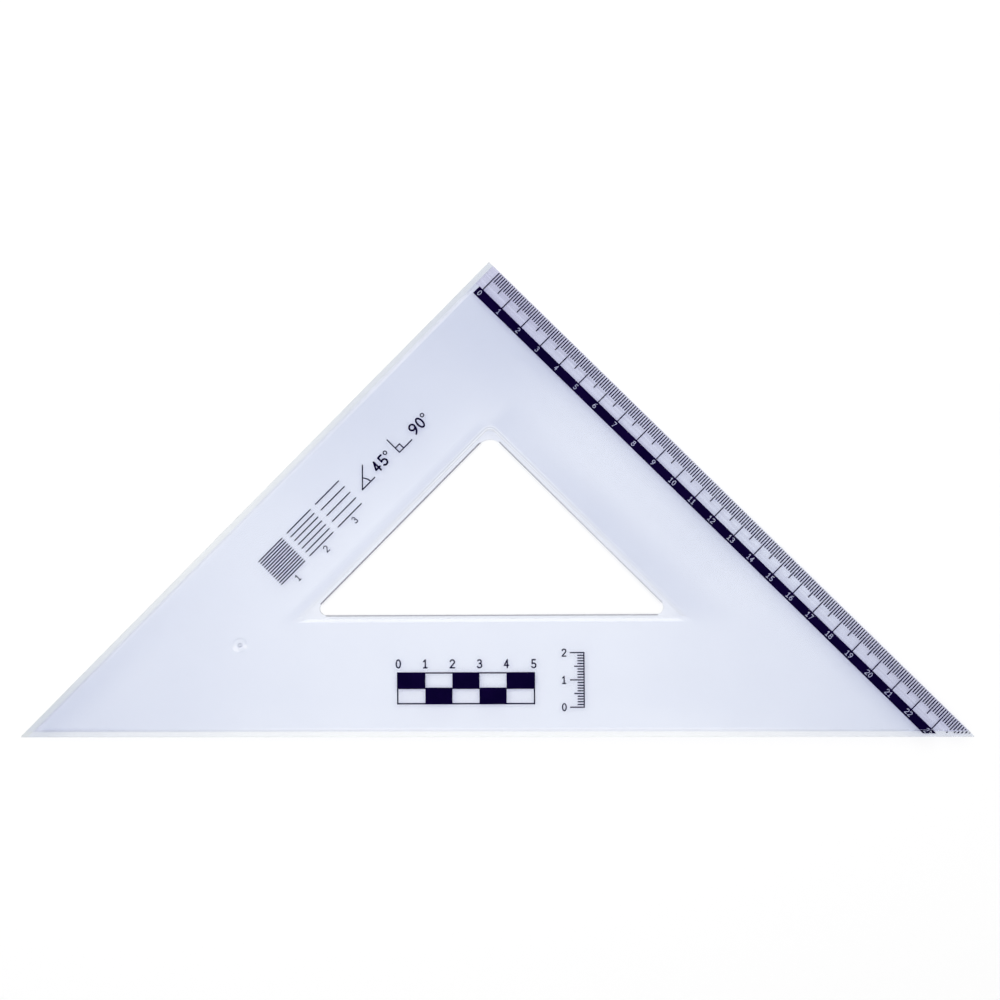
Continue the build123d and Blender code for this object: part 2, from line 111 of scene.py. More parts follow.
class Graph:
    """Adds and links shader nodes in one node tree."""

    def __init__(self, tree: bpy.types.NodeTree) -> None:
        """Starts from an empty tree.

        Args:
            tree: The node tree of a material, a world or a node group.
        """
        self.tree = tree
        tree.nodes.clear()

    def add(self, kind: str, inputs: Inputs | None = None, **settings: object) -> Node:
        """Adds a node.

        Args:
            kind: Blender's name of the node type.
            inputs: What goes into its inputs, by their names or numbers.
            settings: Attributes to set on the node.

        Returns:
            The new node.
        """
        node = self.tree.nodes.new(kind)
        for name, value in settings.items():
            setattr(node, name, value)
        for name, source in (inputs or {}).items():
            self.feed(node.inputs[name], source)
        return node

    def feed(self, target: Socket, source: Input | Shade) -> None:
        """Links a socket to an input, or sets the input's plain value.

        Args:
            target: The input.
            source: A socket, a number, a point or a colour.
        """
        if isinstance(source, Socket):
            self.tree.links.new(source, target)
        else:
            target.default_value = (*source, 1.0) if target.type == "RGBA" else source

    def math(self, operation: str, first: Input, *others: Input) -> Socket:
        """Works out one number.

        Args:
            operation: The Math node's operation.
            first: Its first input.
            others: The inputs that it takes up one after another, if it needs more than one.

        Returns:
            The socket that holds the result.
        """
        result = first
        for other in others or (0.0,):
            result = self.add("ShaderNodeMath", {0: result, 1: other}, operation=operation).outputs["Value"]
        return result

    def vector(self, operation: str, first: Socket, second: Point) -> Node:
        """Works with a vector and a fixed one."""
        return self.add("ShaderNodeVectorMath", {0: first, 1: second}, operation=operation)

    def ramp(self, value: Input, start: float, end: float, low: float = 0.0, high: float = 1.0) -> Socket:
        """Maps a value smoothly, from low up to start to high past end."""
        inputs = {"Value": value, "From Min": start, "From Max": end, "To Min": low, "To Max": high}
        return self.add("ShaderNodeMapRange", inputs, interpolation_type="SMOOTHSTEP").outputs["Result"]

    def mix(self, factor: Input, first: Shade, second: Shade, blend: Blend = Blend.OVER) -> Socket:
        """Mixes two colours by the share of the second one."""
        inputs = {0: factor, 6: first, 7: second}
        return self.add("ShaderNodeMix", inputs, data_type="RGBA", blend_type=blend.value).outputs[2]

    def noise(self, place: Socket, size: float, detail: float = 2.0) -> Socket:
        """A noise value around one half, with cells of some size and with finer layers of detail."""
        inputs = {"Vector": place, "Scale": 1 / size, "Detail": detail}
        return self.add("ShaderNodeTexNoise", inputs).outputs["Fac"]

    def bump(self, height: Socket, strength: float) -> Socket:
        """The normal of a fine relief, from its height and from the share of it that shows."""
        inputs = {"Height": height, "Strength": strength, "Distance": RELIEF_HEIGHT}
        return self.add("ShaderNodeBump", inputs).outputs["Normal"]

    def place(self, turn: float = 0.0, stretch: Point = (1.0, 1.0, 1.0)) -> Socket:
        """The part's own coordinates, turned about Z and stretched.

        Args:
            turn: The turn in degrees.
            stretch: The factor along each turned axis.

        Returns:
            The socket that holds the coordinates.
        """
        spot = self.add("ShaderNodeTexCoord").outputs["Object"]
        inputs = {"Vector": spot, "Angle": math.radians(turn)}
        turned = self.add("ShaderNodeVectorRotate", inputs, rotation_type="Z_AXIS")
        return self.vector("MULTIPLY", turned.outputs["Vector"], stretch).outputs["Vector"]

    def blend_shaders(self, factor: Socket, first: Socket, second: Socket) -> Socket:
        """Mixes two shaders by the share of the second one."""
        return self.add("ShaderNodeMixShader", {0: factor, 1: first, 2: second}).outputs["Shader"]

    def shown_to_eye(self) -> Socket:
        """Finds the rays that show a surface to the camera, straight, mirrored or through glass.

        Returns:
            A socket that is one for these rays.
        """
        path = self.add("ShaderNodeLightPath").outputs
        kinds = ("Is Camera Ray", "Is Glossy Ray", "Is Transmission Ray")
        return self.math("MAXIMUM", *(path[kind] for kind in kinds))

    def let_lamps_through(self, shader: Node, shadow: Shade) -> Socket:
        """Lets light from the lamps pass a surface, so that it reaches the paper underneath.

        Args:
            shader: The surface's shader.
            shadow: The colour that the light takes on.

        Returns:
            The socket that holds the finished shader.
        """
        path = self.add("ShaderNodeLightPath").outputs
        light_ray = self.math("MAXIMUM", path["Is Shadow Ray"], path["Is Diffuse Ray"])
        clear = self.add("ShaderNodeBsdfTransparent", {"Color": shadow})
        return self.blend_shaders(light_ray, shader.outputs["BSDF"], clear.outputs["BSDF"])

    def put_out(self, outputs: dict[str, Socket]) -> bpy.types.NodeTree:
        """Gives a node group its outputs.

        Args:
            outputs: The number that goes out under each name.

        Returns:
            The group.
        """
        for name in outputs:
            self.tree.interface.new_socket(name, in_out="OUTPUT", socket_type="NodeSocketFloat")
        self.add("NodeGroupOutput", outputs)
        return self.tree


def new_material(name: str) -> tuple[bpy.types.Material, Graph]:
    """Makes a material without nodes.

    Args:
        name: The material's name.

    Returns:
        The material and its graph.
    """
    material = bpy.data.materials.new(name)
    material.use_nodes = True
    return material, Graph(material.node_tree)


@dataclass(frozen=True)
class HandlingWear:
    """Hairline scratches and a faint bloom from use, shared by the plastic and the ink."""

    name: str = "handling_wear"
    scratch_length: float = 22 * MM
    scratch_width: float = 0.5 * MM
    scratch_span: Span = (0.72, 0.8)
    bloom_size: float = 18 * MM
    bloom_span: Span = (0.35, 0.7)
    directions: tuple[float, ...] = (12.0, 71.0, -38.0)

    def group(self) -> bpy.types.NodeTree:
        """Builds the node group, or finds it.

        Returns:
            A group with the outputs Scratches and Bloom, both from zero to one.
        """
        if self.name in bpy.data.node_groups:
            return bpy.data.node_groups[self.name]
        graph = Graph(bpy.data.node_groups.new(self.name, "ShaderNodeTree"))
        slender = (self.scratch_width / self.scratch_length, 1.0, 1.0)
        places = (graph.place(turn, slender) for turn in self.directions)
        lines = (graph.noise(place, self.scratch_width, 1.0) for place in places)
        scratches = graph.math("MAXIMUM", *(graph.ramp(line, *self.scratch_span) for line in lines))
        bloom = graph.ramp(graph.noise(graph.place(), self.bloom_size, 3.0), *self.bloom_span)
        return graph.put_out({"Scratches": scratches, "Bloom": bloom})


@dataclass(frozen=True)
class EdgeDistances:
    """The distances over the plate, in millimetres."""

    plate: "Plate"
    name: str = "edge_distances"
    clear_middle: float = 10.0

    def group(self) -> bpy.types.NodeTree:
        """Builds the node group.

        Returns:
            A group with an output for each place.
        """
        graph = Graph(bpy.data.node_groups.new(self.name, "ShaderNodeTree"))
        solid, flat = (graph.place(stretch=(1 / MM, 1 / MM, high)) for high in (1 / MM, 0.0))
        split = graph.add("ShaderNodeSeparateXYZ", {"Vector": solid})
        across, up, height = (split.outputs[axis] for axis in "XYZ")
        middle = self.plate.middle / MM
        below = graph.math("SUBTRACT", middle, up)
        left = graph.math("DIVIDE", graph.math("ADD", below, across), ROOT_TWO)
        scale = graph.math("DIVIDE", graph.math("SUBTRACT", below, across), ROOT_TWO)
        long_side = graph.math("ADD", up, middle)
        distances = {
            Place.LEFT: left,
            Place.LONG: long_side,
            Place.SCALE: scale,
            Place.LIP: graph.math("MINIMUM", left, long_side),
            Place.TIP: graph.math("MAXIMUM", left, long_side),
            Place.OPENING: graph.math("MINIMUM", self.from_legs(graph, left, scale), long_side),
            Place.ACROSS: across,
            Place.ASIDE: graph.math("ABSOLUTE", graph.math("SUBTRACT", across, self.clear_middle)),
            Place.HEIGHT: height,
            Place.GATE: graph.vector("DISTANCE", flat, self.plate.gate_spot).outputs["Value"],
        }
        return graph.put_out({place.value: distance for place, distance in distances.items()})

    def from_legs(self, graph: Graph, left: Socket, scale: Socket) -> Socket:
        """The distance in from the nearer leg, round a corner beside the opening's head.

        Args:
            graph: The group's graph.
            left: The distance from the left leg.
            scale: The distance from the scale leg.

        Returns:
            The socket that holds the distance.
        """
        centre = (self.plate.hole_head + self.plate.hole_head_radius) / MM
        shortfalls = (graph.math("SUBTRACT", centre, distance) for distance in (left, scale))
        squares = [graph.math("POWER", graph.math("MAXIMUM", short, 0.0), 2.0) for short in shortfalls]
        return graph.math("SUBTRACT", centre, graph.math("SQRT", graph.math("ADD", *squares)))


@dataclass(frozen=True)
class Fade:
    """A smooth step over the plate: low up to where a distance starts, and high from where it ends."""

    place: Place
    start: float
    end: float
    low: float = 0.0
    high: float = 1.0

    def read(self, graph: Graph, inset: Node) -> Socket:
        """The step's value, from the node with the distances."""
        return graph.ramp(inset.outputs[self.place.value], self.start, self.end, self.low, self.high)


Fades = tuple[Fade, ...]


def fade_all(graph: Graph, inset: Node, fades: Fades, operation: str = "MULTIPLY") -> Socket:
    """Takes some fades together, as a product or by another operation of the Math node."""
    steps = (fade.read(graph, inset) for fade in fades)
    return reduce(lambda first, second: graph.math(operation, first, second), steps)


@dataclass(frozen=True)
class Layer:
    """A colour that acts on the plastic's where all its fades are up."""

    colour: Colour
    fades: Fades
    blend: Blend = Blend.TINT

    def lay(self, graph: Graph, inset: Node, body: Shade) -> Socket:
        """The plastic's colour with the layer on it."""
        return graph.mix(fade_all(graph, inset, self.fades), body, self.colour, self.blend)


MID_SIDE = Fade(Place.ASIDE, 40, 130, 1, 0)


@dataclass(frozen=True)
class ClearPlastic:
    """Clear moulded plastic with tool marks by the scale, and painted light and shade in its colour.

    Painted light pales it low in the middle and on some walls. Painted shade deepens it toward the corners,
    beside the band, around the opening, on the bevel and on the lips, and draws a dark line along the
    opening's cut edge. These shades follow the plate's edges, and their reach is in millimetres.
    """

    plate: "Plate"
    # pale and deep span the body's colour, from painted light low in the middle to painted shade at the
    # corners.
    pale: Colour = (0.934, 0.942, 0.944)
    deep: Colour = (0.69, 0.715, 0.785)
    # The bevel's colour is painted shade over the scale strip, deepened toward its ends by bevel_end. The
    # streak is the tool marks' own darker colour.
    bevel: Colour = (0.83, 0.855, 0.90)
    streak: Colour = (0.665, 0.68, 0.755)
    bevel_end: Colour = (0.79, 0.76, 0.85)
    bevel_ends: Fades = (
        Fade(Place.ACROSS, 0, 38, 0.47, 0),
        Fade(Place.ACROSS, 55, 100, 0.53, 0),
        Fade(Place.ACROSS, 100, 158, 0, 0.7),
    )
    # The darker left lip and the lighter long lip are painted shade and painted light, and the rim is a
    # painted shaded line along the outer edges.
    left_lip: Colour = (0.975, 0.975, 0.92)
    long_lip: Colour = (1.05, 1.04, 0.985)
    rim: Colour = (0.94, 0.94, 0.94)
    # This colour is painted light: it pales the outer walls and draws painted highlight lines on the
    # opening's walls and painted highlights in the gate's dish. corner_wall and wall_gap are painted shade
    # on the walls near the left corner and between the highlight lines.
    painted_light: Colour = (1.0, 1.0, 0.99)
    corner_wall: Colour = (0.93, 0.93, 0.96)
    wall_gap: Colour = (0.66, 0.68, 0.70)
    # Painted shade on the lips toward the plate's tips.
    lip_tip: Colour = (0.94, 0.95, 0.955)
    # cut is a painted dark line along the opening's cut edge, standing in for the shade there.
    cut: Colour = (0.065, 0.055, 0.085)
    # scar is the dark ring in the gate's middle, and dish is painted shade on the rim of the gate's dish.
    scar: Colour = (0.50, 0.50, 0.57)
    dish: Colour = (0.955, 0.96, 0.97)
    absorption: Colour = (0.40, 0.50, 0.76)
    absorption_density: float = 100.0
    bend: float = 1.49
    shadow: Colour = (0.97, 0.97, 0.98)
    cut_shadow: Colour = (0.75, 0.75, 0.77)
    cut_span: Span = (0.0, 0.4)
    # Where the painted light lies and how far the painted shade reaches; the clouds are a random tone.
    palest: Point = (-3.0, -60.0, 0.0)
    palest_flatness: float = 1.15
    pale_span: Span = (25.0, 212.0)
    deepest: float = 0.80
    cloud_size: float = 55 * MM
    cloud_span: Span = (0.3, 0.7)
    cloud_depth: float = 0.06
    # Where the painted highlight lines lie on the opening's walls, and how strong they are.
    wall_lines: tuple[Span, ...] = ((0.05, 0.95), (0.9, 1.0))
    mark_length: float = 60 * MM
    mark_width: float = 0.8 * MM
    mark_span: Span = (0.3, 0.7)
    mark_height: float = 0.3
    mark_turn: float = 45.0
    scratch_depth: float = 0.5
    relief: float = 0.25
    scar_bore: float = 0.42
    scar_radius: float = 0.7
    # Painted highlights on the sides of the gate's dish, by the way they face and how widely they spread.
    painted_dish_highlights: tuple[tuple[Point, float], ...] = (((-0.73, -0.68, 0.0), 0.6), ((0.97, -0.23, 0.0), 0.9))
    dish_facing: float = 0.97
    roughness: Span = (0.04, 0.11)

    def build(self) -> bpy.types.Material:
        """Builds the material.

        Returns:
            The finished material.
        """
        material, graph = new_material("clear_plastic_finish")
        wear = graph.add("ShaderNodeGroup", node_tree=HandlingWear().group()).outputs
        inset = graph.add("ShaderNodeGroup", node_tree=EdgeDistances(self.plate).group())
        painted = graph.add("ShaderNodeAttribute", attribute_name=CUT_EDGE)
        edge = graph.ramp(painted.outputs["Fac"], *self.cut_span)
        # The mask of the painted dark line along the opening's cut edge.
        cut = graph.math("MULTIPLY", edge, fade_all(graph, inset, self.cut_sides, "MAXIMUM"))
        marks = self.tool_marks(graph)
        streaks = graph.math("MULTIPLY", marks, fade_all(graph, inset, self.on_bevel), self.mark_height)
        scratches = graph.math("MULTIPLY", wear["Scratches"], self.scratch_depth)
        haze = graph.math("MAXIMUM", wear["Scratches"], wear["Bloom"])
        look = {
            "Base Color": self.tint(graph, inset, marks, cut),
            "Roughness": graph.ramp(haze, 0.0, 1.0, *self.roughness),
            "Normal": graph.bump(graph.math("SUBTRACT", streaks, scratches), self.relief),
            "IOR": self.bend,
            "Transmission Weight": 1.0,
        }
        shader = graph.add("ShaderNodeBsdfPrincipled", look)
        shadow = graph.mix(edge, self.shadow, self.cut_shadow)
        inside = {"Color": self.absorption, "Density": self.absorption_density}
        volume = graph.add("ShaderNodeVolumeAbsorption", inside).outputs["Volume"]
        surface = graph.let_lamps_through(shader, shadow)
        graph.add("ShaderNodeOutputMaterial", {"Surface": surface, "Volume": volume})
        return material

    def tool_marks(self, graph: Graph) -> Socket:
        """Streaks along the scale from zero to one, as the mould's cutter left them on the bevel."""
        place = graph.place(self.mark_turn, (self.mark_width / self.mark_length, 1.0, 1.0))
        return graph.ramp(graph.noise(place, self.mark_width, 1.0), *self.mark_span)

    @property
    def on_bevel(self) -> Fades:
        """Up on the bevel, but not on the lips at its ends."""
        width, lip = self.plate.bevel_width / MM, self.plate.lip_width / MM
        return Fade(Place.SCALE, width, width + 0.3, 1, 0), Fade(Place.LIP, lip, lip + 0.3)

    @property
    def cut_sides(self) -> Fades:
        """How dark the painted line along the opening's edge is on its left, on its low side and on its
        right.

        Returns:
            A fade for each side.
        """
        edge = self.plate.hole_inset / MM
        on_left = Fade(Place.LEFT, edge + 0.5, edge + 1, 1, 0)
        on_low = Fade(Place.LONG, edge, edge + 0.5, 0.8, 0)
        return on_left, on_low, Fade(Place.LONG, 60, 108, 0.45, 0.8)

    def depth(self, graph: Graph, inset: Node) -> Socket:
        """How deep the painted shade in the plastic's colour is: least low in the middle, under painted
        light, and most at the corners, with random clouds of tone.

        Args:
            graph: The material's graph.
            inset: The node with the distances over the plate.

        Returns:
            A value from zero to one.
        """
        flat = graph.place(stretch=(1 / MM, self.palest_flatness / MM, 0.0))
        away = graph.vector("DISTANCE", flat, self.palest).outputs["Value"]
        round_about = graph.ramp(away, *self.pale_span, 0.0, self.deepest)
        noise = graph.noise(graph.place(), self.cloud_size)
        clouds = graph.ramp(noise, *self.cloud_span, -self.cloud_depth, self.cloud_depth)
        shares = (fade_all(graph, inset, fades) for fades in self.depth_shares().values())
        total = graph.math("ADD", round_about, clouds, *shares)
        return graph.math("MINIMUM", graph.math("MAXIMUM", total, 0.0), 1.0)

    def depth_shares(self) -> dict[str, Fades]:
        """The painted shade that each part of the plate adds to the plastic's colour, or the painted light
        that takes it away.

        Returns:
            The fades whose product is the share, by the part's name.
        """
        band = self.plate.bevel_width / MM
        head, foot = self.plate.hole_head / MM, self.plate.hole_foot / MM
        beside = Fade(Place.LONG, head - 4, head + 8)
        # Painted shade in the upper arms, at the left tip and around the opening's head, the band's painted
        # shadow beside it, painted light in the middle of the long side, and a deeper tone on the opening's
        # lip.
        return {
            "upper left arm": (Fade(Place.LONG, 60, 130), Fade(Place.LEFT, 15, 70, 0.38, 0)),
            "upper right arm": (Fade(Place.LONG, 40, 80), Fade(Place.SCALE, 20, 48, 0.18, 0)),
            "beside the band": (Fade(Place.SCALE, band + 3, band + 12, 0.32, 0),),
            "middle of the long side": (MID_SIDE, Fade(Place.LONG, 4, 15, -0.14, 0)),
            "left tip": (Fade(Place.LEFT, 3, 16, 0.32, 0), Fade(Place.LONG, 10, 60, 1, 0)),
            "left of the opening": (
                beside,
                Fade(Place.SCALE, head - 4, head + 8),
                Fade(Place.OPENING, head - 4.5, head - 1, 0, 0.3),
                Fade(Place.OPENING, head - 0.3, head + 0.3, 1, 0),
            ),
            "right of the opening": (
                beside,
                Fade(Place.LEFT, head - 2, head + 4),
                Fade(Place.SCALE, head - 16, head - 2.5, 0, 0.58),
                Fade(Place.SCALE, head - 1, head + 0.8, 1, 0),
                Fade(Place.LONG, 40, 75, 0.55, 1),
                Fade(Place.LONG, 92, 112, 1, 0.6),
            ),
            "the opening's lip": (
                Fade(Place.OPENING, foot - 0.2, foot + 0.2),
                Fade(Place.SCALE, foot + 2, foot + 2.8, 0.33, 0.25),
            ),
        }

    def edge_layers(self) -> tuple[Layer, ...]:
        """Painted light and shade on the outer lips, their rims and their walls: painted light on the walls
        in places, painted shade on the rims, toward the left tip and on the left lip, and painted light on
        the long lip.

        Returns:
            The layers in the order they are laid.
        """
        lip = self.plate.lip_width / MM
        on_lip, by_wall = (lip - 0.2, lip + 0.1, 1, 0), (lip + 1.8, lip + 2.8, 1, 0)
        wall = (Fade(Place.LIP, lip - 0.2, lip + 0.1), Fade(Place.LIP, lip + 1, lip + 1.8, 1, 0))
        long_wall = (*wall, MID_SIDE, Fade(Place.LONG, *by_wall))
        upper = (Fade(Place.LONG, 105, 135, 0.25, 0.6), Fade(Place.LONG, 162, 167, 1, 0))
        left_wall = (*wall, *upper, Fade(Place.LEFT, *by_wall))
        return (
            Layer(self.painted_light, long_wall, Blend.OVER),
            Layer(self.painted_light, left_wall, Blend.OVER),
            Layer(self.corner_wall, (*wall, Fade(Place.TIP, 6, 38, 1, 0))),
            Layer(self.rim, (Fade(Place.LIP, 0.1, 0.5, 1, 0),)),
            Layer(self.left_lip, (Fade(Place.LEFT, *on_lip),)),
            Layer(self.long_lip, (Fade(Place.LONG, *on_lip),)),
            Layer(self.lip_tip, (Fade(Place.LIP, *on_lip), Fade(Place.TIP, 5, 32, 1, 0))),
        )

    def opening_layers(self) -> tuple[Layer, ...]:
        """The opening's walls near the right angle: painted light on them, painted shade on their upper
        part, with painted highlight lines.

        Returns:
            The layers in the order they are laid.
        """
        head, foot = self.plate.hole_head / MM, self.plate.hole_foot / MM
        upper, on_top = Fade(Place.LONG, 60, 100), Fade(Place.HEIGHT, 0.4, 0.8)
        past_head = Fade(Place.OPENING, head - 0.3, head - 0.1)
        wall = (upper, past_head, Fade(Place.OPENING, foot, foot + 0.2, 1, 0))
        shades = [(self.painted_light, wall), (self.wall_gap, (*wall, on_top))]
        for inward, strength in self.wall_lines:
            line = head + inward
            rise = Fade(Place.OPENING, line - 0.3, line - 0.1)
            fall = Fade(Place.OPENING, line + 0.1, line + 0.3, strength, 0)
            shades.append((self.painted_light, (upper, on_top, rise, fall)))
        return tuple(Layer(colour, fades, Blend.OVER) for colour, fades in shades)

    def gate_mark(self, graph: Graph, inset: Node, body: Shade) -> Socket:
        """Shades the gate mark: painted shade on the rim of its dish, painted highlights on its sides, and
        the dark ring in its middle.

        Args:
            graph: The material's graph.
            inset: The node with the distances over the plate.
            body: The plastic's colour.

        Returns:
            The socket that holds the colour.
        """
        brim = self.plate.gate_radius / MM
        foot = brim - self.plate.gate_slope / MM
        bore, scar = self.scar_bore, self.scar_radius
        rim = (Fade(Place.GATE, foot - 0.3, foot + 0.2), Fade(Place.GATE, brim - 0.1, brim + 0.1, 1, 0))
        sides = (Fade(Place.GATE, scar + 0.2, foot - 0.6), Fade(Place.GATE, brim - 0.2, brim + 0.1, 1, 0))
        ring = (Fade(Place.GATE, bore - 0.1, bore + 0.05), Fade(Place.GATE, scar - 0.05, scar + 0.1, 1, 0))
        body = Layer(self.dish, rim).lay(graph, inset, body)
        flat = graph.place(stretch=(1 / MM, 1 / MM, 0.0))
        way = graph.vector("SUBTRACT", flat, self.plate.gate_spot).outputs["Vector"]
        length = graph.math("MAXIMUM", inset.outputs[Place.GATE.value], bore)
        side = fade_all(graph, inset, sides)
        # Painted highlights on the dish's sides.
        for direction, spread in self.painted_dish_highlights:
            along = graph.vector("DOT_PRODUCT", way, direction).outputs["Value"]
            facing = graph.ramp(graph.math("DIVIDE", along, length), spread, self.dish_facing)
            body = graph.mix(graph.math("MULTIPLY", side, facing), body, self.painted_light)
        return Layer(self.scar, ring, Blend.OVER).lay(graph, inset, body)

    def tint(self, graph: Graph, inset: Node, marks: Socket, cut: Socket) -> Socket:
        """The plastic's colour, with its painted light and shade and its tool marks.

        Args:
            graph: The material's graph.
            inset: The node with the distances over the plate.
            marks: The tool marks along the bevel.
            cut: The mask of the painted dark line along the opening's cut edges.

        Returns:
            The socket that holds the colour.
        """
        body = graph.mix(self.depth(graph, inset), self.pale, self.deep)
        # Painted shade on the bevel, deeper toward its ends, with the tool marks' streaks.
        ends = fade_all(graph, inset, self.bevel_ends, "ADD")
        bevel = graph.mix(ends, graph.mix(marks, self.bevel, self.streak), self.bevel_end, Blend.TINT)
        body = graph.mix(fade_all(graph, inset, self.on_bevel), body, bevel)
        for layer in (*self.edge_layers(), *self.opening_layers()):
            body = layer.lay(graph, inset, body)
        return graph.mix(cut, self.gate_mark(graph, inset, body), self.cut)


@dataclass(frozen=True)
class PrintedInk:
    """Dark indigo printing ink, a little uneven where it lies thin."""

    deep: Colour = (0.0022, 0.0004, 0.0195)
    thin: Colour = (0.0040, 0.0010, 0.0270)
    speckle: float = 0.35 * MM
    patch: float = 6 * MM
    uneven_span: Span = (0.85, 1.25)
    roughness: Span = (0.38, 0.55)
    relief: float = 0.2
    gloss: float = 0.004
    shadow: Colour = (0.20, 0.18, 0.56)

    def build(self) -> bpy.types.Material:
        """Builds the material.

        Returns:
            The finished material.
        """
        material, graph = new_material("printed_ink_finish")
        wear = graph.add("ShaderNodeGroup", node_tree=HandlingWear().group()).outputs
        grain, patches = (graph.noise(graph.place(), size) for size in (self.speckle, self.patch))
        uneven = graph.ramp(graph.math("ADD", grain, patches), *self.uneven_span)
        dull = graph.math("MAXIMUM", uneven, wear["Scratches"])
        look = {
            "Base Color": graph.mix(uneven, self.deep, self.thin),
            "Roughness": graph.ramp(dull, 0.0, 1.0, *self.roughness),
            "Normal": graph.bump(grain, self.relief),
            "Specular IOR Level": self.gloss,
        }
        surface = graph.let_lamps_through(graph.add("ShaderNodeBsdfPrincipled", look), self.shadow)
        graph.add("ShaderNodeOutputMaterial", {"Surface": surface})
        return material


@dataclass(frozen=True)
class WhitePaper:
    """The white ground: it holds shadows around the part, and stays white to the eye further off."""

    colour: Colour = (0.95, 0.95, 0.95)
    glow: float = 0.15
    near: float = 0.28
    far: float = 0.9

    def build(self) -> bpy.types.Material:
        """Builds the material.

        Returns:
            The finished material.
        """
        material, graph = new_material("white_paper_finish")
        matt = graph.add("ShaderNodeBsdfDiffuse", {"Color": self.colour}).outputs["BSDF"]
        light = graph.add("ShaderNodeEmission").outputs["Emission"]
        away = graph.vector("DISTANCE", graph.place(), (0.0, 0.0, 0.0)).outputs["Value"]
        glow = graph.ramp(away, self.near, self.far, self.glow, 1.0)
        surface = graph.blend_shaders(graph.math("MULTIPLY", graph.shown_to_eye(), glow), matt, light)
        graph.add("ShaderNodeOutputMaterial", {"Surface": surface})
        return material


